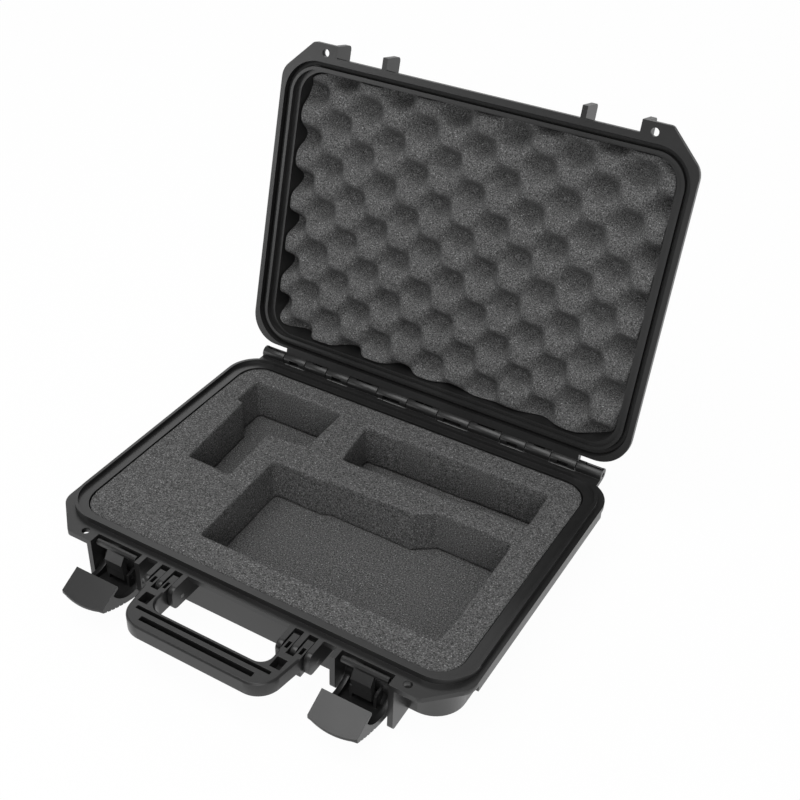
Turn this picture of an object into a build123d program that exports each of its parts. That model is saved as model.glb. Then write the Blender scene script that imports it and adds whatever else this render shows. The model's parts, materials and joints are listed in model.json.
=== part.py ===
from build123d import *
import os
from math import cos, radians, sin, tan

# Rugged two-shell carrying case for a microphone, a recorder and a power adapter.
# Frame: millimetres, +Z up, hinge along X, front (handle and latches) towards -Y.
# Origin: centre of the flat underside of the base. The lid stands open.

# Body shells
body_width = 337.0          # outside of the walls at the parting line
body_depth = 240.6
body_corner = 25.0          # plan radius of the body's corners
base_height = 47.0          # underside to the top of the base flange
lid_height = 38.0           # parting line to the top of the closed lid
wall = 3.3
floor_thickness = 3.5
draft_angle = 3.0
bottom_chamfer = 3.0
lid_gap = 0.2               # between the closed lid and the base flange

# Rim: flange, tongue, channel and gasket
flange_thickness = 4.5
flange_side_reach = 12.0    # beyond the wall
flange_front_reach = 11.0
flange_back_reach = 8.0
flange_corner = 26.0
skirt_depth = 5.5           # downturned edge along the sides
skirt_width = 2.5
lid_overhang = 0.8
tongue_side_offset = 6.5    # centre line of the tongue beyond the wall
tongue_end_offset = 3.7
tongue_corner = 28.0
tongue_width = 2.5
tongue_height = 5.0
ledge_height = 1.6
tongue_play = 1.35          # tongue to the lid's lip
channel_play = 0.8          # tongue to the outer side of the channel
channel_wall = 1.8
channel_roof = 2.5
lip_width = 2.5
lip_gap = 0.3               # closed lip above the ledge
gasket_height = 1.7
gasket_gap = 0.3            # gasket to the tongue of the closed case
gasket_side_gap = 0.2

# Front corner lobes with the padlock holes
lobe_reach = 20.7
lobe_outer_inset = 15.0     # inwards from the side wall
lobe_chamfer_end = 114.0    # where the chamfer meets the side, in front of centre
lobe_round = 5.0
lobe_side_round = 16.0
padlock_diameter = 6.5
padlock_inset = 27.0
padlock_reach = 13.5

# Latches
latch_inset = 59.2          # latch centre inwards from the side wall
lever_width = 39.6
rib_width = 4.4
rib_side_gap = 1.4          # rib to lever on each side
inner_rib_depth = 32.0      # below the flange top
outer_rib_foot = 2.0        # its lowest corner above the bottom
rib_round = 4.0
rib_slope = 1.5             # rise of a rib's lower edge towards the wall
lug_height = 21.5           # lid ribs above the parting line
lug_round = 3.5
latch_pivot_reach = 4.7     # pivot in front of the wall
latch_pivot_drop = 23.0     # pivot under the flange top
latch_pin_diameter = 4.0
running_gap = 0.08          # radial play of a turning piece on its pin
hub_radius = 5.0
hub_bite = 1.0              # how far the lever's cheeks run into the hub
lever_skin = 2.3
cheek_width = 4.0
cap_thickness = 2.2
lever_heel = (8.0, -13.0)   # lever profile as reach and rise from its pivot
lever_belly = (31.0, -8.8)
lever_knee = (52.0, -0.4)
cap_inner = (34.4, 12.4)
cap_outer = (55.5, 1.4)
cheek_hollow = (20.0, -5.6)
cheek_top = (40.0, 7.2)
claw_cheek_tip = (13.4, 0.8)
cap_bulge = 3.2             # middle of the cap beyond its ends
groove_places = (0.1, 0.2, 0.3, 0.4, 0.5)   # along the underside, from the knee
groove_size = 1.5
claw_pin_diameter = 3.0
claw_crank = 10.0           # latch pivot to claw pin
claw_crank_angle = -20.0    # below the outward direction, lever open
claw_boss_radius = 3.6
claw_web_width = 16.0
claw_side_gap = 0.6
claw_cheek_width = 2.2
claw_bar_width = 37.6
claw_bar_depth = 4.6
claw_bar_chamfer = 1.4
claw_web_front = 7.4        # front of the web beyond the hook's opening
claw_web_thickness = 4.4
claw_web_nose = 1.6         # top of the web's front beyond its foot
claw_web_fall = 5.0         # of the web's sloping top below the bar
hook_reach = 1.7            # open hook in front of the flange edge
hook_drop = 5.75            # hook underside below the parting line, lever open
hook_height = 5.0

# Handle
handle_pivot_reach = 18.7
handle_pivot_drop = 13.0
handle_pin_diameter = 4.0
handle_top_drop = 1.0       # handle top under the flange top
handle_thickness = 18.0
handle_half_width = 62.5
handle_grip_depth = 20.0
handle_reach = 69.7         # front of the grip beyond the wall
handle_corner = 19.0
handle_inner_corner = 10.0
handle_top_chamfer = 1.2
handle_low_chamfer = 6.0
handle_slots = ((53.7, 58.0, 3.0), (61.2, 48.7, 4.2))   # reach beyond the wall, half length, width
handle_slot_depth = 12.0
handle_recess_reach = (38.6, 48.6)
handle_recess_x = (53.4, 61.6)
handle_recess_depth = 9.0
ear_width = 4.4
finger_width = 5.6
finger_gap = 0.9            # finger to ear, sideways
comb_gap = 2.9              # ears to the handle's arms in front of them
first_ear_x = 45.2          # inner face of the innermost ear
ear_front = 11.5            # front of the ears beyond their pivot
ear_low = 6.5               # underside of the ears below their pivot
ear_round = 5.5
finger_radius = 6.0
finger_pocket = (2.6, 6.5, 9.0)   # width, length and depth of the hollow in each finger
finger_wall = 1.6
finger_back = 4.0           # end of the fingers behind their pivot

# Hinge
hinge_reach = 18.4          # hinge axis behind the wall
hinge_rise = 1.9            # axis above the flange top
knuckle_radius = 5.5
knuckle_gap = 0.4           # each side of a joint between knuckles
knuckle_clearance = 0.4     # radial, from a strip to the turning knuckles
hinge_pin_diameter = 4.0
hinge_pin_end_gap = 2.0
centre_knuckle = 30.0
inner_knuckle = 30.0        # outwards from the centre one, knuckles are the lid's and the base's in turn
inner_knuckles = 2
outer_knuckles = 4          # these share the rest of the hinge's length
hinge_end_inset = 2.5       # end of the last knuckle inwards from the side wall
knuckle_end_wall = 6.2      # solid barrel beside each window
knuckle_outer_wall = 1.8
window_floor = 1.2          # window bottom past the hinge axis
lid_open_angle = 104.17

# Foam
foam_gap = 0.3
pad_thickness = 6.0
lid_foam_depth = 8.0        # face of the lid foam above the parting line
microphone_corners = ((-28.0, 91.0), (138.5, 94.0), (140.0, 51.0), (-22.5, 43.5))
adapter_corners = (
    (-144.3, 96.2), (-57.2, 96.2), (-57.2, 43.0), (-94.0, 39.0),
    (-89.3, -21.0), (-131.0, -20.0), (-137.0, 64.0), (-144.3, 65.5))
mixer_corners = (
    (-68.3, 12.4), (-22.0, 12.4), (-18.0, 15.5), (60.0, 15.8), (76.0, 27.5),
    (139.0, 27.2), (141.0, -63.0), (139.0, -88.0), (-64.3, -91.0))

half_width = body_width / 2
half_depth = body_depth / 2
inner_wall = half_depth - wall
parting = base_height + lid_gap
flange_low = base_height - flange_thickness
lid_top = base_height + lid_height
channel_top = base_height + tongue_height + gasket_gap + gasket_height
tongue_half = tongue_width / 2
lip_out = -(tongue_half + tongue_play)
channel_out = tongue_half + channel_play
hinge_y = half_depth + hinge_reach
hinge_z = base_height + hinge_rise
hinge_axis = Axis((0, hinge_y, hinge_z), (1, 0, 0))
strip_back = hinge_y - knuckle_radius - knuckle_clearance
latch_x = half_width - latch_inset
padlock_x = half_width - padlock_inset
pivot_y = -(half_depth + latch_pivot_reach)
pivot_z = base_height - latch_pivot_drop
claw_y = pivot_y - claw_crank * cos(radians(claw_crank_angle))
claw_z = pivot_z + claw_crank * sin(radians(claw_crank_angle))
rib_front = -(half_depth + lobe_reach)
flange_front = -(half_depth + flange_front_reach)
handle_y = -(half_depth + handle_pivot_reach)
handle_z = base_height - handle_pivot_drop
rib_inner_face = latch_x - lever_width / 2 - rib_side_gap
rib_outer_face = latch_x + lever_width / 2 + rib_side_gap
finger_pitch = ear_width + finger_width + 2 * finger_gap
ear_starts = [first_ear_x + i * finger_pitch for i in range(3)]
finger_starts = [start + ear_width + finger_gap for start in ear_starts[:2]]
arm_inner = finger_starts[0]
arm_outer = finger_starts[-1] + finger_width


def across(points, x_from, x_to):
    """Solid with a side profile of (y, z) points between two places along X."""
    face = make_face(Polyline(*points, close=True))
    return extrude(Plane.YZ.offset(x_from) * face, amount=x_to - x_from)


def rod(diameter, x_from, x_to, y, z):
    circle = Pos(y, z) * Circle(diameter / 2)
    return extrude(Plane.YZ.offset(x_from) * circle, amount=x_to - x_from)


def block(x_range, y_range, z_range):
    size = [b - a for a, b in (x_range, y_range, z_range)]
    middle = [(a + b) / 2 for a, b in (x_range, y_range, z_range)]
    return Pos(*middle) * Box(*size)


def left(shape):
    return mirror(shape, about=Plane.YZ)


def both_sides(shape):
    return shape + left(shape)


def body_section(inset, z_rim, z):
    """Body's outline at height z, inset from walls that lean in by the draft away from the rim."""
    lean = inset + abs(z - z_rim) * tan(radians(draft_angle))
    plan = RectangleRounded(body_width - 2 * lean, body_depth - 2 * lean, body_corner - inset)
    return Plane.XY.offset(z) * plan


def body_block(inset, z_rim, z_end):
    """Block inside the body's outline that narrows by the draft from the rim to its far end."""
    return loft([body_section(inset, z_rim, z_rim), body_section(inset, z_rim, z_end)], ruled=True)


def body_outside(z_rim, z_edge, z_end):
    """Outside of a shell, with a chamfer between z_edge and its far end."""
    rim, edge = body_section(0, z_rim, z_rim), body_section(0, z_rim, z_edge)
    return loft([rim, edge, body_section(bottom_chamfer, z_rim, z_end)], ruled=True)


def ring_block(offset, z_from, z_to):
    """Block whose plan is the tongue's centre line, moved outwards by offset."""
    width = body_width + 2 * (tongue_side_offset + offset)
    depth = body_depth + 2 * (tongue_end_offset + offset)
    plan = RectangleRounded(width, depth, tongue_corner + offset)
    return extrude(Plane.XY.offset(z_from) * plan, amount=z_to - z_from)


def round_corner(face, x, y, radius):
    corners = [v for v in face.vertices() if abs(abs(v.X) - x) < 0.01 and abs(v.Y - y) < 0.01]
    return fillet(corners, radius)


def flange_plan(overhang):
    side = half_width + flange_side_reach + overhang
    back = half_depth + flange_back_reach
    right = make_face(Polyline(
        (0, flange_front),
        (rib_outer_face, flange_front),
        (rib_outer_face, rib_front),
        (half_width - lobe_outer_inset, rib_front),
        (side, -lobe_chamfer_end),
        (side, back),
        (0, back),
        close=True,
    ))
    plan = both_sides(right)
    plan = round_corner(plan, side, back, flange_corner)
    plan = round_corner(plan, side, -lobe_chamfer_end, lobe_side_round)
    return round_corner(plan, half_width - lobe_outer_inset, rib_front, lobe_round)


def upright(z_root, z_tip, slope, tip_round, x_from):
    """Plate across the latch's side, from the wall to the lobe's front, with one rounded corner."""
    profile = make_face(Polyline(
        (-inner_wall, z_root),
        (rib_front, z_root),
        (rib_front, z_tip),
        (-inner_wall, z_tip + slope),
        close=True,
    ))
    tip = [v for v in profile.vertices() if abs(v.X - rib_front) < 0.01 and abs(v.Y - z_tip) < 0.01]
    plate = extrude(Plane.YZ.offset(x_from) * fillet(tip, tip_round), amount=rib_width)
    return both_sides(plate)


def latch_ribs():
    """Two ribs under the flange at each latch; the outer one reaches lower."""
    inner = upright(base_height, base_height - inner_rib_depth, rib_slope, rib_round,
                    rib_inner_face - rib_width)
    outer = upright(base_height, outer_rib_foot, rib_slope, rib_round, rib_outer_face)
    return inner + outer


def lid_lugs():
    top = parting + lug_height
    return (upright(parting, top, 0, lug_round, rib_inner_face - rib_width)
            + upright(parting, top, 0, lug_round, rib_outer_face))


def ear(x_from):
    """Plate that carries the handle's pin, level with the flange and rounded in front."""
    low = handle_z - ear_low
    front = handle_y - ear_front
    profile = make_face(Polyline(
        (-inner_wall, base_height), (front, base_height), (front, low), (-inner_wall, low), close=True))
    corners = [v for v in profile.vertices() if abs(v.X - front) < 0.01]
    return extrude(Plane.YZ.offset(x_from) * fillet(corners, ear_round), amount=ear_width)


def knuckle_spans():
    """X ranges of the knuckles to the right of the centre one, from the inside out."""
    ends = [centre_knuckle / 2 + count * inner_knuckle for count in range(inner_knuckles + 1)]
    share = (half_width - hinge_end_inset - ends[-1]) / outer_knuckles
    ends += [ends[-1] + count * share for count in range(1, outer_knuckles + 1)]
    return [(a + knuckle_gap, b - knuckle_gap) for a, b in zip(ends[:-1], ends[1:])]


def knuckle(x_from, x_to, z_face, side):
    """Hinge barrel with the arm that ties it to a wall; side is -1 under the parting line, 1 above."""
    root = half_depth - wall
    arm = across([
        (root, z_face),
        (root, z_face + side * (flange_thickness + hinge_rise)),
        (hinge_y, hinge_z + side * knuckle_radius),
        (hinge_y, hinge_z),
        (strip_back + knuckle_clearance, z_face),
    ], x_from, x_to)
    return arm + rod(2 * knuckle_radius, x_from, x_to, hinge_y, hinge_z)


def window(x_from, x_to, side):
    """Core that opens a knuckle from the side away from its arm, down to the pin."""
    y_range = (hinge_y - window_floor, hinge_y + knuckle_radius + 1)
    z_range = sorted((hinge_z - side * window_floor, hinge_z + side * (knuckle_radius + 1)))
    return block((x_from, x_to), y_range, z_range)


def base_windows():
    cores = both_sides(window(knuckle_gap, centre_knuckle / 2 - knuckle_end_wall, 1))
    spans = knuckle_spans()
    for x_from, x_to in spans[1:-1:2]:
        cores += both_sides(window(x_from + knuckle_end_wall, x_to - knuckle_end_wall, 1))
    x_from, x_to = spans[-1]
    return cores + both_sides(window(x_from + knuckle_end_wall, x_to - knuckle_outer_wall, 1))


def lid_windows():
    cores = None
    for x_from, x_to in knuckle_spans()[0::2]:
        pair = both_sides(window(x_from + knuckle_end_wall, x_to - knuckle_end_wall, -1))
        cores = pair if cores is None else cores + pair
    return cores


def hinge_strip(half, z_from, z_to):
    """Shelf that closes the gap between a flange and the row of knuckles."""
    return block((-half, half), (half_depth, strip_back), (z_from, z_to))


def padlock_holes(z_from, z_to):
    spot = Pos(padlock_x, -(half_depth + padlock_reach)) * Circle(padlock_diameter / 2)
    return both_sides(extrude(Plane.XY.offset(z_from) * spot, amount=z_to - z_from))


def skirt(flange):
    """Downturned edge along the sides of the base flange."""
    ring = flange - offset(flange, -skirt_width)
    band = extrude(Plane.XY.offset(flange_low) * ring, amount=-skirt_depth)
    y_range = (-lobe_chamfer_end + lobe_side_round / 2, half_depth + flange_back_reach - flange_corner)
    return band & block((-body_width, body_width), y_range, (flange_low - skirt_depth, flange_low))


def base_shell():
    body = body_outside(base_height, bottom_chamfer, 0)
    flange = flange_plan(0)
    shell = body + extrude(Plane.XY.offset(flange_low) * flange, amount=flange_thickness)
    shell += skirt(flange)
    shell += hinge_strip(knuckle_spans()[-1][1], flange_low, base_height)
    tongue = ring_block(tongue_half, base_height, base_height + tongue_height)
    tongue -= ring_block(-tongue_half, base_height + ledge_height, base_height + tongue_height)
    shell += tongue
    shell += latch_ribs()
    for start in ear_starts:
        shell += both_sides(ear(start))
    centre = centre_knuckle / 2 - knuckle_gap
    shell += knuckle(-centre, centre, base_height, -1)
    for x_from, x_to in knuckle_spans()[1::2]:
        shell += both_sides(knuckle(x_from, x_to, base_height, -1))
    shell -= body_block(wall, base_height, floor_thickness)
    mouth = RectangleRounded(body_width - 2 * wall, body_depth - 2 * wall, body_corner - wall)
    shell -= extrude(Plane.XY.offset(base_height) * mouth, amount=tongue_height)
    shell -= padlock_holes(0, base_height + tongue_height)
    shell -= base_windows()
    pin_from, pin_to = latch_x - lever_width, latch_x + lever_width
    shell -= both_sides(rod(latch_pin_diameter, pin_from, pin_to, pivot_y, pivot_z))
    pin_from, pin_to = ear_starts[0], ear_starts[-1] + ear_width
    shell -= both_sides(rod(handle_pin_diameter, pin_from, pin_to, handle_y, handle_z))
    return shell - rod(hinge_pin_diameter, -half_width, half_width, hinge_y, hinge_z)


def lid_shell_closed():
    body = body_outside(parting, lid_top - bottom_chamfer, lid_top)
    shell = body + extrude(Plane.XY.offset(parting) * flange_plan(lid_overhang), amount=flange_thickness)
    shell += ring_block(channel_out + channel_wall, parting, channel_top + channel_roof)
    shell += hinge_strip(knuckle_spans()[-2][1], parting, parting + flange_thickness)
    shell += lid_lugs()
    for x_from, x_to in knuckle_spans()[0::2]:
        shell += both_sides(knuckle(x_from, x_to, parting, 1))
    shell -= body_block(wall, channel_top, lid_top - floor_thickness)
    shell -= ring_block(lip_out, parting, base_height + ledge_height + lip_gap)
    shell -= ring_block(lip_out - lip_width, parting, channel_top)
    shell -= ring_block(channel_out, parting, channel_top) - ring_block(lip_out, parting, channel_top)
    shell -= padlock_holes(parting, parting + 2 * flange_thickness)
    shell -= lid_windows()
    bore = hinge_pin_diameter + 2 * running_gap
    return shell - rod(bore, -half_width, half_width, hinge_y, hinge_z)


def open_lid(shape):
    return shape.rotate(hinge_axis, -lid_open_angle)


def lid_gasket():
    low = channel_top - gasket_height
    outer = ring_block(channel_out - gasket_side_gap, low, channel_top)
    return outer - ring_block(lip_out + gasket_side_gap, low, channel_top)


def lid_foam():
    face = parting + lid_foam_depth
    foam = body_block(wall + foam_gap, parting, lid_top - floor_thickness)
    return foam & block((-body_width, body_width), (-body_depth, body_depth), (face, lid_top))


def base_foam():
    top = base_height + ledge_height
    low = floor_thickness + pad_thickness
    foam = body_block(wall + foam_gap, top, low)
    for corners in (microphone_corners, adapter_corners, mixer_corners):
        pocket = make_face(Polyline(*corners, close=True))
        foam -= extrude(Plane.XY.offset(low) * pocket, amount=top - low)
    return foam


def base_floor_pad():
    pad = body_block(wall + foam_gap, base_height, floor_thickness)
    top = floor_thickness + pad_thickness
    return pad & block((-body_width, body_width), (-body_depth, body_depth), (floor_thickness, top))


def hinge_pin(side):
    reach = half_width - hinge_end_inset - hinge_pin_end_gap
    return rod(hinge_pin_diameter, side * hinge_pin_end_gap / 2, side * reach, hinge_y, hinge_z)


def handle():
    top = base_height - handle_top_drop
    low = top - handle_thickness
    front = -(half_depth + handle_reach)
    inner_edge = front + handle_grip_depth
    comb_end = handle_y - ear_front - comb_gap
    right = make_face(Polyline(
        (0, front), (handle_half_width, front),
        (arm_outer, comb_end), (arm_inner, comb_end), (arm_inner, inner_edge),
        (0, inner_edge), close=True))
    plan = both_sides(right)
    plan = round_corner(plan, handle_half_width, front, handle_corner)
    plan = round_corner(plan, arm_inner, inner_edge, handle_inner_corner)
    grip = extrude(Plane.XY.offset(low) * plan, amount=handle_thickness)
    grip = chamfer(rim_edges(grip, top, comb_end), handle_top_chamfer)
    outside = [e for e in rim_edges(grip, low, comb_end)
               if e.center().Y < inner_edge - 1 or abs(e.center().X) > arm_inner + 1]
    grip = chamfer(outside, handle_low_chamfer)
    for reach, half, width in handle_slots:
        centre = -(half_depth + reach)
        y_range = (centre - width / 2, centre + width / 2)
        grip -= block((-half, half), y_range, (top - handle_slot_depth, top))
    near, far = handle_recess_reach
    y_range = (-(half_depth + far), -(half_depth + near))
    grip -= both_sides(block(handle_recess_x, y_range, (top - handle_recess_depth, top)))
    for start in finger_starts:
        grip += both_sides(finger(start, top, comb_end))
    bore = handle_pin_diameter + 2 * running_gap
    return grip - both_sides(rod(bore, arm_inner, arm_outer, handle_y, handle_z))


def rim_edges(shape, height, comb_end):
    """Edges at one height, apart from those where the arms meet their fingers."""
    level = [e for e in shape.edges() if abs(e.center().Z - height) < 0.01]
    return [e for e in level if e.center().Y < comb_end - 0.01]


def finger(x_from, top, comb_end):
    """Hollow finger between two ears, open at the top above the pin."""
    x_to = x_from + finger_width
    back = handle_y + finger_back
    body = across([
        (comb_end, top),
        (back, top),
        (back, handle_z),
        (handle_y, handle_z - finger_radius),
        (comb_end, handle_z - finger_radius),
    ], x_from, x_to)
    body += rod(2 * finger_radius, x_from, x_to, handle_y, handle_z)
    width, length, depth = finger_pocket
    x_range = (x_from + finger_wall, x_from + finger_wall + width)
    y_range = (handle_y - finger_back - length, handle_y - finger_back)
    return body - block(x_range, y_range, (top - depth, top))


def handle_pin():
    return rod(handle_pin_diameter, ear_starts[0], ear_starts[-1] + ear_width, handle_y, handle_z)


def from_pivot(place):
    reach, rise = place
    return (pivot_y - reach, pivot_z + rise)


def inwards(place, distance):
    """A place of the lever's profile moved up into the tray."""
    reach, rise = place
    return (reach, rise + distance)


def lever_plate(face, x_from, width):
    return extrude(Plane.YZ.offset(x_from) * face, amount=width)


def lever_underside():
    return ThreePointArc(from_pivot(lever_knee), from_pivot(lever_belly), from_pivot(lever_heel))


def lever_tray():
    """Floor of the tray, an even skin along the curved underside and up to the hub."""
    inner = [from_pivot(inwards(place, lever_skin)) for place in (lever_heel, lever_belly, lever_knee)]
    in_hub = [from_pivot((0, -lever_skin)), from_pivot((lever_skin, -lever_skin))]
    return make_face(
        lever_underside() + Polyline(from_pivot(lever_heel), *in_hub, inner[0])
        + ThreePointArc(*inner) + Line(inner[2], from_pivot(lever_knee)))


def lever_cheek():
    """End wall of the tray, from the hub to the cap."""
    hub_top, hub_low = from_pivot((0, hub_radius - hub_bite)), from_pivot((0, hub_bite - hub_radius))
    upper = ThreePointArc(hub_top, from_pivot(cheek_hollow), from_pivot(cheek_top))
    lower = Polyline(from_pivot(lever_heel), hub_low, hub_top)
    cap = Polyline([from_pivot(place) for place in (cheek_top, cap_inner, cap_outer, lever_knee)])
    return make_face(lever_underside() + lower + upper + cap)


def lever_cap():
    low = [from_pivot(inwards(place, -cap_thickness)) for place in (cap_outer, cap_inner)]
    return make_face(Polyline(from_pivot(cap_inner), from_pivot(cap_outer), *low, close=True))


def claw_cheek():
    """Wall beside the claw that carries the claw's pin, from the hub to the tray."""
    tip_low = from_pivot((claw_cheek_tip[0], lever_heel[1] + lever_skin))
    return make_face(Polyline(
        from_pivot((0, hub_radius - hub_bite)), from_pivot(claw_cheek_tip), tip_low,
        from_pivot(lever_heel), from_pivot((0, hub_bite - hub_radius)), close=True))


def latch_lever():
    """Right-hand lever in its open pose: a dished tray with a cap plate at its outer end."""
    half = lever_width / 2
    x_from, x_to = latch_x - half, latch_x + half
    lever = lever_plate(lever_tray(), x_from, lever_width)
    lever += lever_plate(lever_cap(), x_from, lever_width)
    for start in (x_from, x_to - cheek_width):
        lever += lever_plate(lever_cheek(), start, cheek_width)
    lever &= lever_plan()
    web_side = claw_web_width / 2 + claw_side_gap
    for start in (latch_x - web_side - claw_cheek_width, latch_x + web_side):
        lever += lever_plate(claw_cheek(), start, claw_cheek_width)
    lever += rod(2 * hub_radius, x_from, x_to, pivot_y, pivot_z)
    for place in groove_places:
        at = lever_underside() @ place
        lever -= block((x_from, x_to), (at.X - groove_size / 2, at.X + groove_size / 2),
                       (at.Y - groove_size / 2, at.Y + groove_size / 2))
    lever -= rod(latch_pin_diameter + 2 * running_gap, x_from, x_to, pivot_y, pivot_z)
    return lever - claw_pin()


def lever_plan():
    """Space over the lever's plan, whose outer edge bulges in the middle."""
    half = lever_width / 2
    inner, outer = pivot_y + 2 * hub_radius, pivot_y - cap_outer[0]
    x_from, x_to, corner_y = latch_x - half, latch_x + half, outer + cap_bulge
    bulge = ThreePointArc((x_from, corner_y), (latch_x, outer), (x_to, corner_y))
    sides = Polyline((x_to, corner_y), (x_to, inner), (x_from, inner), (x_from, corner_y))
    return extrude(make_face(bulge + sides), amount=base_height)


def latch_claw():
    """Right-hand claw: a cross bar with the hook, a web and the boss on its pin."""
    front, low = flange_front - hook_reach, base_height - hook_drop
    back_corner, top = front - claw_bar_depth, low + hook_height
    bar = across([
        (front, low),
        (front, top - claw_bar_chamfer),
        (front - claw_bar_chamfer, top),
        (back_corner + claw_bar_chamfer, top),
        (back_corner, top - claw_bar_chamfer),
        (back_corner, low + claw_bar_chamfer),
        (back_corner + claw_bar_chamfer, low),
    ], latch_x - claw_bar_width / 2, latch_x + claw_bar_width / 2)
    web_front = front - claw_web_front
    web_back = web_front + claw_web_thickness
    half = claw_web_width / 2
    web = across([
        (web_back, low + claw_bar_chamfer),
        (back_corner, low + claw_bar_chamfer),
        (web_front - claw_web_nose, low - claw_web_fall),
        (web_front, claw_z + 2 * claw_boss_radius),
        (web_front, claw_z),
        (claw_y, claw_z - claw_boss_radius),
        (claw_y + claw_boss_radius, claw_z),
        (web_back, claw_z + 2 * claw_boss_radius),
    ], latch_x - half, latch_x + half)
    boss = rod(2 * claw_boss_radius, latch_x - half, latch_x + half, claw_y, claw_z)
    bore = rod(claw_pin_diameter + 2 * running_gap, latch_x - half, latch_x + half, claw_y, claw_z)
    return bar + web + boss - bore


def lever_pin():
    half = lever_width / 2 + rib_side_gap + rib_width
    return rod(latch_pin_diameter, latch_x - half, latch_x + half, pivot_y, pivot_z)


def claw_pin():
    half = claw_web_width / 2 + claw_side_gap + claw_cheek_width
    return rod(claw_pin_diameter, latch_x - half, latch_x + half, claw_y, claw_z)


nodes = {
    "base_shell": base_shell(),
    "lid_shell": open_lid(lid_shell_closed()),
    "lid_gasket": open_lid(lid_gasket()),
    "lid_foam": open_lid(lid_foam()),
    "base_foam": base_foam(),
    "base_floor_pad": base_floor_pad(),
    "hinge_pin_left": hinge_pin(-1),
    "hinge_pin_right": hinge_pin(1),
    "handle": handle(),
    "handle_pin_left": left(handle_pin()),
    "handle_pin_right": handle_pin(),
    "latch_lever_left": left(latch_lever()),
    "latch_lever_right": latch_lever(),
    "latch_claw_left": left(latch_claw()),
    "latch_claw_right": latch_claw(),
    "lever_pin_left": left(lever_pin()),
    "lever_pin_right": lever_pin(),
    "claw_pin_left": left(claw_pin()),
    "claw_pin_right": claw_pin(),
}

os.makedirs("parts", exist_ok=True)
for name, shape in nodes.items():
    export_step(shape, f"parts/{name}.step")
    print(name, round(shape.volume), len(shape.solids()))
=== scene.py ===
import bpy
import bmesh
import json
import numpy as np
from math import cos, pi, radians, sin, tan
from mathutils import Matrix, Vector


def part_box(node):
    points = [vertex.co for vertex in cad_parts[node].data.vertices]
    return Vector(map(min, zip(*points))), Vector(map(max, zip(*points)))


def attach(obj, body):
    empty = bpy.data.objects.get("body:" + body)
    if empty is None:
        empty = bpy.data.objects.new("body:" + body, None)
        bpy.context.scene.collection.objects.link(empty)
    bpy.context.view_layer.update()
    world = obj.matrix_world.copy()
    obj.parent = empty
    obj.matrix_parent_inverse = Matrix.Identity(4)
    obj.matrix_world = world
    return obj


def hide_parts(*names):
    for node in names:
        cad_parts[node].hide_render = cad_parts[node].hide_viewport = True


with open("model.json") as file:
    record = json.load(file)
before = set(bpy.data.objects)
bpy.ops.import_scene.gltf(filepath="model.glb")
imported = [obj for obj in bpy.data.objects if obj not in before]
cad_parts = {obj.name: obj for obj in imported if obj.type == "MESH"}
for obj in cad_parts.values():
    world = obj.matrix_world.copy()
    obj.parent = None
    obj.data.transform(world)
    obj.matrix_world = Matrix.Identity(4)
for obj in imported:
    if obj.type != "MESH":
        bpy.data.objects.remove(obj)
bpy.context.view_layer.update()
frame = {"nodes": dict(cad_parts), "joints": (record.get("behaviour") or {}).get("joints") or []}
nodes = frame["nodes"]
print("frame loaded, nodes:", len(nodes))

view = {
    "place": (0.4003, -0.6290, 0.6878),
    "turn": 31.692,                # degrees from looking along +Y
    "lookDown": 36.863,
    "roll": 0.596,
    "focalPixels": 1247.07,
    "frameWidth": 800,
    "principal": (350.9, 416.1),   # where the lens axis meets the frame
    "sensorWidth": 36.0,
}


def makeCamera(look):
    data = bpy.data.cameras.new("camera")
    data.sensor_width = look["sensorWidth"]
    data.lens = data.sensor_width * look["focalPixels"] / look["frameWidth"]
    middle = look["frameWidth"] / 2
    data.shift_x = (middle - look["principal"][0]) / look["frameWidth"]
    data.shift_y = (look["principal"][1] - middle) / look["frameWidth"]
    camera = bpy.data.objects.new("camera", data)
    turn = Matrix.Rotation(radians(look["turn"]), 4, "Z")
    tilt = Matrix.Rotation(radians(90 - look["lookDown"]), 4, "X")
    roll = Matrix.Rotation(radians(look["roll"]), 4, "Z")
    camera.matrix_world = Matrix.Translation(look["place"]) @ turn @ tilt @ roll
    bpy.context.scene.collection.objects.link(camera)
    bpy.context.scene.camera = camera


makeCamera(view)
print("camera placed")


class Wire:
    # A node's output that takes part in plain Python sums.
    def __init__(self, tree, socket=None):
        self.tree = tree
        self.socket = socket

    def node(self, kind, settings=None, output=0, **inputs):
        # Adds a node: settings first, then the values or links of its sockets,
        # which are named, or numbered as s0, s1 and so on.
        n = self.tree.nodes.new(kind)
        for key, value in (settings or {}).items():
            if key == "stops":
                fillRamp(n.color_ramp, value)
            else:
                setattr(n, key, value)
        for name, value in inputs.items():
            place = int(name[1:]) if name[1:].isdigit() else name.replace("_", " ")
            if isinstance(value, Wire):
                self.tree.links.new(value.socket, n.inputs[place])
            else:
                n.inputs[place].default_value = value
        return Wire(self.tree, n.outputs[output])

    def maths(self, operation, a, b):
        return self.node("ShaderNodeMath", {"operation": operation}, s0=a, s1=b)

    def __add__(self, other):
        return self.maths("ADD", self, other)

    def __mul__(self, other):
        return self.maths("MULTIPLY", self, other)

    __radd__ = __add__
    __rmul__ = __mul__

    def between(self, first, second):
        # Colour that goes from first to second as this value goes from 0 to 1.
        return self.node("ShaderNodeMix", {"data_type": "RGBA"}, output=2, s0=self, s6=first, s7=second)

    def noise(self, scale, detail=2.0, rough=0.5):
        return self.node("ShaderNodeTexNoise", Vector=self, Scale=scale, Detail=detail, Roughness=rough)

    def steps(self, low, high):
        # 0 below low, 1 above high, straight between them.
        stops = [(low, grey(0)), (high, grey(1))]
        return self.node("ShaderNodeValToRGB", {"stops": stops}, Fac=self)

    def bump(self, strength, distance):
        return self.node("ShaderNodeBump", Strength=strength, Distance=distance, Height=self)

    def to(self, shader, name):
        self.tree.links.new(self.socket, shader.inputs[name])


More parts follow.
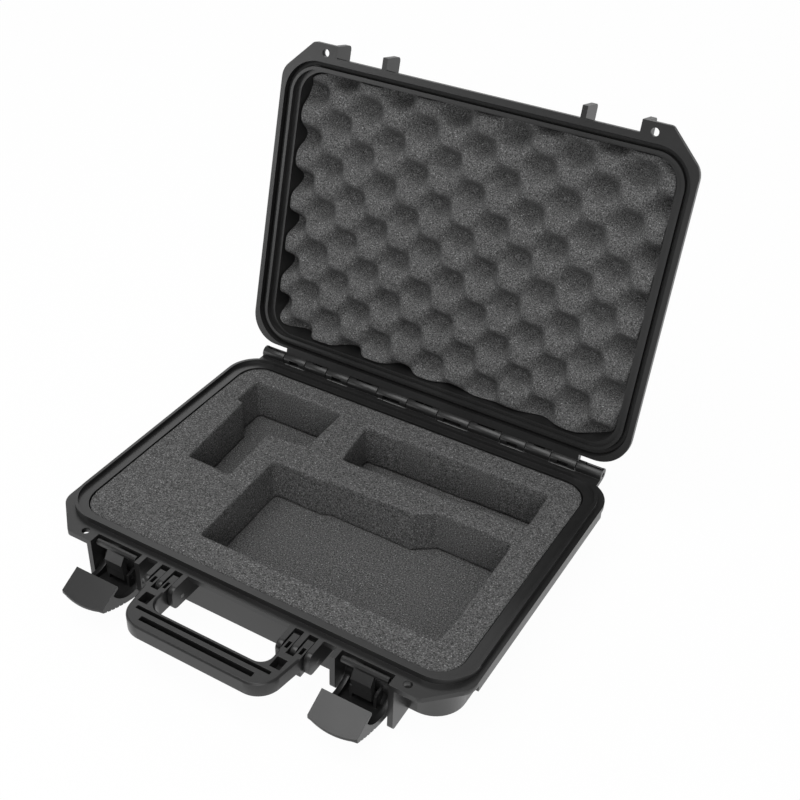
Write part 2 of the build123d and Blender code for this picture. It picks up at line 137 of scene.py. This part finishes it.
def fillRamp(ramp, stops):
    for element, (place, colour) in zip(ramp.elements, stops):
        element.position = place
        element.color = colour


def grey(value):
    return (value, value, value, 1.0)


def newMaterial(name):
    # A material with one Principled shader; also gives the place on the piece.
    material = bpy.data.materials.new(name)
    material.use_nodes = True
    tree = material.node_tree
    tree.nodes.clear()
    out = tree.nodes.new("ShaderNodeOutputMaterial")
    shader = tree.nodes.new("ShaderNodeBsdfPrincipled")
    tree.links.new(shader.outputs[0], out.inputs[0])
    where = Wire(tree).node("ShaderNodeTexCoord", output=3)
    return material, shader, where


plasticLook = {
    "dark": 0.010, "light": 0.017,     # base colour, changing slowly over the mouldings
    "patch": 22.0, "patchDetail": 3.0,
    "rough": 0.25, "roughSpread": 0.16,
    "grain": 2400.0, "grainDepth": 0.00003, "grainStrength": 0.5,
    "specular": 0.5,
}


def casePlastic(look):
    # Satin moulding: slow patches of shade and gloss, and a fine even grain.
    material, shader, where = newMaterial("case_plastic")
    cloud = where.noise(look["patch"], look["patchDetail"])
    grain = where.noise(look["grain"], 1.0)
    cloud.between(grey(look["dark"]), grey(look["light"])).to(shader, "Base Color")
    (look["rough"] + look["roughSpread"] * cloud).to(shader, "Roughness")
    shader.inputs["Specular IOR Level"].default_value = look["specular"]
    grain.bump(look["grainStrength"], look["grainDepth"]).to(shader, "Normal")
    return material


foamLook = {
    # The darkest colour is painted shade in the pores; the palest is a painted highlight on the cell
    # walls.
    "shade": 0.032, "body": 0.142, "paintedHighlight": 0.48,
    "cell": 900.0,                     # noise scale: cells about a millimetre apart
    "cellRough": 0.75,
    "pore": 1500.0,
    "poreShare": 0.4,                  # of the pattern that places the painted highlights
    # Steps of the painted pore shade into the body colour, and of the painted highlight.
    "wallSteps": (0.36, 0.60), "paintedHighlightSteps": (0.60, 0.70),
    "rough": 0.95, "specular": 0.08,
    "bumpStrength": 0.6, "bumpDepth": 0.0009,
}


def caseFoam(look):
    # Open cells: painted shade in the dark pores between grey walls, and a pale painted highlight where a
    # wall would catch the light.
    material, shader, where = newMaterial("case_foam")
    cells = where.noise(look["cell"], 2.0, look["cellRough"])
    pores = where.noise(look["pore"], 1.0)
    # Painted shade in the pores, the foam's own grey on the walls.
    poreShadeAndWalls = cells.steps(*look["wallSteps"]).between(grey(look["shade"]), grey(look["body"]))
    share = look["poreShare"]
    # Painted highlight: a pale colour where the cell pattern peaks, standing in for light caught by the
    # cell walls.
    paintedHighlights = ((1 - share) * cells + share * pores).steps(*look["paintedHighlightSteps"])
    paintedHighlights.between(poreShadeAndWalls, grey(look["paintedHighlight"])).to(shader, "Base Color")
    shader.inputs["Roughness"].default_value = look["rough"]
    shader.inputs["Specular IOR Level"].default_value = look["specular"]
    cells.bump(look["bumpStrength"], look["bumpDepth"]).to(shader, "Normal")
    return material


rubberLook = {"dark": 0.006, "light": 0.012, "grain": 700.0, "rough": 0.6, "roughSpread": 0.2}


def sealRubber(look):
    material, shader, where = newMaterial("seal_rubber")
    fine = where.noise(look["grain"])
    fine.between(grey(look["dark"]), grey(look["light"])).to(shader, "Base Color")
    (look["rough"] + look["roughSpread"] * fine).to(shader, "Roughness")
    return material


steelLook = {"dark": 0.16, "light": 0.26, "streak": 400.0, "rough": 0.38, "roughSpread": 0.15}


def pinSteel(look):
    material, shader, where = newMaterial("pin_steel")
    streak = where.noise(look["streak"])
    streak.between(grey(look["dark"]), grey(look["light"])).to(shader, "Base Color")
    shader.inputs["Metallic"].default_value = 1.0
    (look["rough"] + look["roughSpread"] * streak).to(shader, "Roughness")
    return material


plastic = casePlastic(plasticLook)
foam = caseFoam(foamLook)
rubber = sealRubber(rubberLook)
steel = pinSteel(steelLook)
print("materials made")

sameSpot = 0.00001                     # points nearer than this are one point

edges = {
    "wide": 0.0007, "usual": 0.0004, "segments": 2,
    "sharpest": 32.0,                  # degrees; only folds past this are softened
    "flat": 0.5,                       # degrees; faces nearer than this become one
    "widest": ("handle", "latch_lever_left", "latch_lever_right"),
}


def dress(name, material):
    # A carried-over node gets its finish and softened edges.
    piece = nodes[name]
    piece.data.materials.clear()
    piece.data.materials.append(material)
    weld = piece.modifiers.new("weld", "WELD")
    weld.merge_threshold = sameSpot
    flatten = piece.modifiers.new("flatten", "DECIMATE")
    flatten.decimate_type = "DISSOLVE"
    flatten.angle_limit = radians(edges["flat"])
    bevel = piece.modifiers.new("bevel", "BEVEL")
    bevel.limit_method = "ANGLE"
    bevel.angle_limit = radians(edges["sharpest"])
    bevel.width = edges["wide"] if name in edges["widest"] else edges["usual"]
    bevel.segments = edges["segments"]


softNodes = ("base_foam", "base_floor_pad", "lid_foam", "lid_gasket")
for name in nodes:
    if name not in softNodes:
        dress(name, steel if "pin" in name else plastic)
print("rigid pieces dressed")

hingeJoint = next(joint for joint in frame["joints"] if joint["name"] == "lid_hinge")
hinge = {
    "y": hingeJoint["pos_m"][1], "z": hingeJoint["pos_m"][2],
    "open": -radians(hingeJoint["range_deg"][1]),      # from closed to where the lid rests
}


def opened(points):
    # Turns points of the closed lid about the hinge to where it stands at rest.
    y, z = points[:, 1] - hinge["y"], points[:, 2] - hinge["z"]
    c, s = cos(hinge["open"]), sin(hinge["open"])
    return np.stack([points[:, 0], hinge["y"] + y * c - z * s, hinge["z"] + y * s + z * c], axis=1)


def newPiece(name, points, faces, material, body, node=None, smooth=True):
    mesh = bpy.data.meshes.new(name)
    mesh.from_pydata(points.tolist(), [], faces)
    mesh.polygons.foreach_set("use_smooth", np.full(len(mesh.polygons), smooth))
    mesh.materials.append(material)
    mesh.update()
    piece = bpy.data.objects.new(name, mesh)
    bpy.context.scene.collection.objects.link(piece)
    if node:
        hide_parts(node)
    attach(piece, body)
    return piece


# The room inside the shells in metres, in the closed case's frame. It is widest at the rims,
# and the foam insert fills it there.
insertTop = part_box("base_foam")[1]
room = {
    "halfX": insertTop.x, "halfY": insertTop.y, "corner": 0.0214,
    "lean": tan(radians(3.0)),         # draft of the walls
    "baseRim": 0.0470, "lidRim": 0.0472,
}


def outline(s, t, inset, corner):
    # A point of a square's edge, taken to the rounded rectangle: the part past a
    # corner's centre is drawn in to the corner's radius.
    halfX, halfY = room["halfX"] - inset, room["halfY"] - inset
    x, y = s * halfX, t * halfY
    cx = np.clip(x, corner - halfX, halfX - corner)
    cy = np.clip(y, corner - halfY, halfY - corner)
    reach = np.hypot(x - cx, y - cy)
    pull = np.where(reach > corner, corner / np.maximum(reach, 1e-9), 1.0)
    return cx + (x - cx) * pull, cy + (y - cy) * pull


def squareEdge(count, rows):
    # The edge of a count by rows grid of cells, in order, as indices into the grid.
    wide, tall = count + 1, rows + 1
    grid = np.arange(wide * tall).reshape(tall, wide)
    return np.concatenate([grid[0, :-1], grid[:-1, -1], grid[-1, :0:-1], grid[:0:-1, 0]])


def foamSlab(look, topAt):
    # Grid over the plan: point = ring size * outline point, height = topAt(x, y). Its edge goes
    # round a quarter circle and down the wall, and one face closes the underside.
    count, rows = look["count"], look["rows"]
    s, t = np.meshgrid(np.linspace(-1, 1, count + 1), np.linspace(-1, 1, rows + 1))
    s, t = s.ravel(), t.ravel()
    ring = np.maximum(np.maximum(np.abs(s), np.abs(t)), 1e-9)
    clear, edgeRound = look["clear"], look["edgeRound"]
    corner = room["corner"] - clear
    topLean, lowLean = (room["lean"] * abs(z - look["rim"]) for z in (look["face"], look["low"]))
    x, y = outline(s / ring, t / ring, clear + topLean + edgeRound, corner - edgeRound)
    x, y = x * ring, y * ring
    loop = squareEdge(count, rows)
    layers = [np.stack([x, y, topAt(x, y)], axis=1)]
    es, et = (s / ring)[loop], (t / ring)[loop]
    for turn in np.linspace(0, pi / 2, look["roundSteps"] + 1)[1:]:
        inset = edgeRound * (1 - sin(turn))
        ex, ey = outline(es, et, clear + topLean + inset, corner - inset)
        drop = look["down"] * edgeRound * (1 - cos(turn))
        layers.append(np.stack([ex, ey, topAt(ex, ey) + drop], axis=1))
    ex, ey = outline(es, et, clear + lowLean, corner)
    wallTop = layers[-1]
    wallLow = np.stack([ex, ey, np.full(len(ex), look["low"])], axis=1)
    for part in np.linspace(0, 1, look["wallSteps"] + 1)[1:]:
        layers.append(wallTop * (1 - part) + wallLow * part)
    points = np.concatenate(layers)
    wide = count + 1
    a = (np.arange(rows)[:, None] * wide + np.arange(count)[None, :]).ravel()
    faces = [np.stack([a, a + 1, a + wide + 1, a + wide], axis=1)]
    start, length = wide * (rows + 1), len(loop)
    above = loop
    for layer in range(len(layers) - 1):
        below = start + layer * length + np.arange(length)
        faces.append(np.stack([above, below, np.roll(below, -1), np.roll(above, -1)], axis=1))
        above = below
    quads, cap = np.concatenate(faces), above[::-1]
    if look["down"] > 0:               # the face looks down in the closed case
        quads, cap = quads[:, ::-1], above
    return points, quads.tolist() + [cap.tolist()]


eggCrate = {
    "count": 264, "rows": 184,
    "clear": 0.0004, "edgeRound": 0.0012, "roundSteps": 3, "wallSteps": 2,
    "face": 0.0553, "low": 0.0813,     # tops of the bumps and back, in the closed lid
    "rim": room["lidRim"], "down": 1,
    "depth": 0.0190,                   # bump to pit
    "pitchX": 0.0527, "pitchY": 0.0382,
    "pit": (-0.0020, -0.0600),         # centre of one pit
    "sharpness": 1.9,                  # above 1, pits are narrower than bumps
    "steep": 0.6,                      # share of the smooth step that makes the sides steeper
    "skew": (-0.165, radians(3.4)),    # the rows lean by this angle about this X
    "drift": (0.0004, 61, 73),         # height and the two rates of the slow unevenness
    "setBack": 0.0006,                 # keeps the drift behind the face
}


def eggCrateFace(x, y):
    # face + setBack + drift + depth * dip ^ sharpness, where dip goes from 0 on a bump to 1 in
    # a pit: s = 0.5 + 0.5 cos cos, mixed with its smooth step s * s * (3 - 2 s).
    look = eggCrate
    about, lean = look["skew"]
    across = about + (x - about) * cos(lean) + y * sin(lean)
    along = y * cos(lean) - (x - about) * sin(lean)
    waveX = np.cos(2 * pi * (across - look["pit"][0]) / look["pitchX"])
    waveY = np.cos(2 * pi * (along - look["pit"][1]) / look["pitchY"])
    height, rateX, rateY = look["drift"]
    drift = height * np.sin(rateX * x + 1.3) * np.sin(rateY * y + 0.4)
    dip = 0.5 + 0.5 * waveX * waveY
    dip = (1 - look["steep"]) * dip + look["steep"] * dip * dip * (3 - 2 * dip)
    return look["face"] + look["setBack"] + drift + look["depth"] * dip ** look["sharpness"]


points, faces = foamSlab(eggCrate, eggCrateFace)
lidFoam = newPiece("lidFoam", opened(points), faces, foam, "lid", "lid_foam")
print("lid foam made")

padLow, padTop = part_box("base_floor_pad")
floorPad = {
    "count": 66, "rows": 46,
    "clear": 0.0004, "edgeRound": 0.0012, "roundSteps": 3, "wallSteps": 1,
    "face": padTop.z - 0.0003, "low": padLow.z + 0.0002,
    "rim": room["baseRim"], "down": -1,
    "ripple": (0.0001, 47, 59),        # height and the two rates
    "setBack": 0.0002,
}


def padFace(x, y):
    # Nearly flat: face - setBack - a slow ripple.
    height, rateX, rateY = floorPad["ripple"]
    return floorPad["face"] - floorPad["setBack"] - height * np.sin(rateX * x) * np.sin(rateY * y)


points, faces = foamSlab(floorPad, padFace)
basePad = newPiece("baseFloorPad", points, faces, foam, "base", "base_floor_pad")
print("floor pad made")

foamInsert = {
    "cell": 0.0016, "quickCell": 0.004,
    "softenings": 6, "softness": 0.5,
    "shrink": 0.00025,                 # keeps the wave inside the solid
    "wave": 0.00025, "rates": ((140, 50), (120, -30)),
}


def makeInsert(look):
    # The die-cut block: its node's own shape, remeshed in small cells and softened, then
    # moved along its normals by a slow wave - shrink.
    mesh = nodes["base_foam"].data.copy()
    mesh.name = "baseFoamInsert"
    work = bmesh.new()
    work.from_mesh(mesh)
    bmesh.ops.remove_doubles(work, verts=work.verts, dist=sameSpot)
    work.to_mesh(mesh)
    work.free()
    piece = bpy.data.objects.new("baseFoamInsert", mesh)
    bpy.context.scene.collection.objects.link(piece)
    cells = piece.modifiers.new("cells", "REMESH")
    cells.mode = "VOXEL"
    cells.voxel_size = look["cell"]
    soften = piece.modifiers.new("soften", "SMOOTH")
    soften.factor = look["softness"]
    soften.iterations = look["softenings"]
    ready = piece.evaluated_get(bpy.context.evaluated_depsgraph_get())
    done = bpy.data.meshes.new_from_object(ready)
    done.name = "baseFoamInsert"
    piece.modifiers.clear()
    piece.data = done
    place = np.empty(len(done.vertices) * 3, np.float32)
    normal = np.empty_like(place)
    done.vertices.foreach_get("co", place)
    done.vertex_normals.foreach_get("vector", normal)
    place, normal = place.reshape(-1, 3), normal.reshape(-1, 3)
    x, y, z = place.T
    (rateX, rateXY), (rateY, rateYZ) = look["rates"]
    wave = np.sin(rateX * x + rateXY * y) * np.sin(rateY * y + rateYZ * z)
    move = look["wave"] * 0.5 * (wave - 1) - look["shrink"]
    done.vertices.foreach_set("co", (place + normal * move[:, None]).ravel())
    done.polygons.foreach_set("use_smooth", np.ones(len(done.polygons), bool))
    done.materials.clear()
    done.materials.append(foam)
    done.update()
    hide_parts("base_foam")
    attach(piece, "base")


makeInsert(foamInsert)
print("base foam made")

knuckleBacks = {
    "middle": 0.015,                   # half of the middle knuckle, where the row starts
    "inner": 0.030, "innerCount": 2,   # length and number of the long knuckles each side
    "outerCount": 4, "end": 0.166,     # the rest of the row is shared by this many
    "gap": 0.0004,                     # from a knuckle's end to where its barrel starts
    "wall": 0.0062, "lastWall": 0.0018,
    "web": 0.0004,                     # half of the web that parts the middle window
    "bite": 0.0001,
    "outerRadius": 0.0054, "innerRadius": 0.0042, "steps": 8,
    "turn": {"base": (-12, 40), "lid": (-52, 12)},     # degrees about the pin, from +Y
}


def knuckleWindows(look, body):
    # Ends of the knuckles, outwards from the middle one. A window starts and ends a gap and
    # a wall in from its knuckle's ends. Lid and base knuckles take turns, on both sides.
    inner = look["middle"] + look["inner"] * np.arange(look["innerCount"] + 1)
    outer = np.linspace(inner[-1], look["end"], look["outerCount"] + 1)
    ends = np.concatenate([inner, outer[1:]])
    inset = look["gap"] + look["wall"]
    windows = np.stack([ends[:-1] + inset, ends[1:] - inset], axis=1)
    windows[-1, 1] = look["end"] - look["gap"] - look["lastWall"]
    middleWindow = [[look["web"], look["middle"] - look["wall"]]]
    if body == "lid":
        windows = windows[0::2]
    else:
        windows = np.concatenate([middleWindow, windows[1::2]])
    windows = windows + np.array([-look["bite"], look["bite"]])
    return np.concatenate([windows, -windows[:, ::-1]])


def makeKnuckleBacks(look, body):
    # Curved wall behind each window of the hinge barrels: an arc band round the pin, carried
    # along X from one end of the window to the other.
    turn = np.radians(np.linspace(*look["turn"][body], look["steps"] + 1))
    radius = np.repeat([look["outerRadius"], look["innerRadius"]], len(turn))
    turn = np.concatenate([turn, turn[::-1]])
    y, z = hinge["y"] + radius * np.cos(turn), hinge["z"] + radius * np.sin(turn)
    windows, size = knuckleWindows(look, body), len(turn)
    points = np.concatenate([np.stack([np.full(size, x), y, z], axis=1) for x in windows.ravel()])
    faces = []
    for first in range(0, len(points), 2 * size):
        ring = first + np.arange(size)
        ahead = np.roll(ring, -1)
        faces += np.stack([ring, ahead, ahead + size, ring + size], axis=1).tolist()
        faces += [ring[::-1].tolist(), (ring + size).tolist()]
    if body == "lid":
        points = opened(points)
    newPiece(body + "KnuckleBacks", points, faces, plastic, body, smooth=False)


makeKnuckleBacks(knuckleBacks, "base")
makeKnuckleBacks(knuckleBacks, "lid")
print("hinge windows backed")

sealRing = {
    "steps": 24, "section": 16,        # points round each corner and round the section
    "middle": -0.0003,                 # the groove's middle, outwards from the tongue's line
    "halfWide": 0.0019, "halfHigh": 0.00082, "squareness": 2.6,
    "heightMiddle": 0.05315,
    "halfX": 0.1750, "halfY": 0.1240, "corner": 0.028,         # the tongue's line
}


def makeSeal(look):
    # Section: a superellipse, |across| ^ squareness + |up| ^ squareness = 1 in its half sizes.
    # Path: the tongue's rounded rectangle, offset by the section's width.
    turn = np.linspace(0, 2 * pi, look["section"], endpoint=False)
    power = 2 / look["squareness"]
    out = look["middle"] + look["halfWide"] * np.sign(np.cos(turn)) * np.abs(np.cos(turn)) ** power
    up = look["heightMiddle"] + look["halfHigh"] * np.sign(np.sin(turn)) * np.abs(np.sin(turn)) ** power
    bend = np.linspace(0, pi / 2, look["steps"])
    quarter = (np.arange(4)[:, None] * pi / 2 + bend[None, :]).ravel()
    cx = np.repeat([1, -1, -1, 1], look["steps"]) * (look["halfX"] - look["corner"])
    cy = np.repeat([1, 1, -1, -1], look["steps"]) * (look["halfY"] - look["corner"])
    radius = look["corner"] + out[None, :]
    x = cx[:, None] + radius * np.cos(quarter)[:, None]
    y = cy[:, None] + radius * np.sin(quarter)[:, None]
    z = np.broadcast_to(up[None, :], x.shape)
    points = np.stack([x, y, z], axis=2).reshape(-1, 3)
    path, ring = x.shape
    i, j = np.meshgrid(np.arange(path), np.arange(ring), indexing="ij")
    nextI, nextJ = (i + 1) % path, (j + 1) % ring
    faces = np.stack([i * ring + j, nextI * ring + j, nextI * ring + nextJ, i * ring + nextJ], axis=2)
    return opened(points), faces.reshape(-1, 4).tolist()


points, faces = makeSeal(sealRing)
newPiece("lidSeal", points, faces, rubber, "lid", "lid_gasket")
print("seal made")

floorLook = {
    "size": 80.0, "height": -0.0002,
    "colour": 0.85, "rough": 0.9,
    "seenWhite": 0.97,                 # share of plain white that the camera sees
}


def backgroundRays(wire):
    # 1 for rays from the camera and for those that mirror or pass through.
    path = wire.node("ShaderNodeLightPath").socket.node
    names = ("Is Camera Ray", "Is Glossy Ray", "Is Transmission Ray")
    camera, glossy, through = (Wire(wire.tree, path.outputs[name]) for name in names)
    return camera.maths("MAXIMUM", camera.maths("MAXIMUM", camera, glossy), through)


def makeFloor(look):
    half, height = look["size"] / 2, look["height"]
    corners = [(-half, -half, height), (half, -half, height), (half, half, height), (-half, half, height)]
    mesh = bpy.data.meshes.new("floor")
    mesh.from_pydata(corners, [], [(0, 1, 2, 3)])
    floor = bpy.data.objects.new("floor", mesh)
    bpy.context.scene.collection.objects.link(floor)
    material, shader, where = newMaterial("floor_white")
    shader.inputs["Base Color"].default_value = grey(look["colour"])
    shader.inputs["Roughness"].default_value = look["rough"]
    white = where.node("ShaderNodeEmission", Color=grey(1), Strength=1.0)
    part = look["seenWhite"] * backgroundRays(where)
    lit = Wire(where.tree, shader.outputs[0])
    blend = where.node("ShaderNodeMixShader", s0=part, s1=lit, s2=white)
    out = next(n for n in where.tree.nodes if n.type == "OUTPUT_MATERIAL")
    where.tree.links.new(blend.socket, out.inputs[0])
    mesh.materials.append(material)


def makeWorld(strength):
    world = bpy.data.worlds.new("world")
    bpy.context.scene.world = world
    world.use_nodes = True
    background = next(n for n in world.node_tree.nodes if n.type == "BACKGROUND")
    background.inputs["Color"].default_value = grey(1.0)
    background.inputs["Strength"].default_value = strength


studio = {
    "world": 0.30,
    "aim": (0, 0, 0.05),               # what every panel faces
    "panels": {                        # place, size and watts
        "top_box": ((-0.1, -0.5, 1.7), (1.5, 1.3), 20),
        "front_box": ((1.0, -1.5, 0.9), (1.5, 1.0), 12),
        "left_box": ((-1.3, -1.2, 0.3), (1.0, 0.5), 4),
        "back_box": ((-0.8, 1.5, 1.3), (1.8, 1.2), 10),
    },
}


def softBox(name, place, size, power, aim):
    data = bpy.data.lights.new(name, "AREA")
    data.shape = "RECTANGLE"
    data.size, data.size_y = size
    data.energy = power
    lamp = bpy.data.objects.new(name, data)
    lamp.location = place
    lamp.rotation_euler = (Vector(aim) - Vector(place)).to_track_quat("-Z", "Y").to_euler()
    bpy.context.scene.collection.objects.link(lamp)


makeFloor(floorLook)
makeWorld(studio["world"])
for name, (place, size, power) in studio["panels"].items():
    softBox(name, place, size, power, studio["aim"])
print("stage lit")

bpy.context.scene.view_settings.view_transform = "Standard"
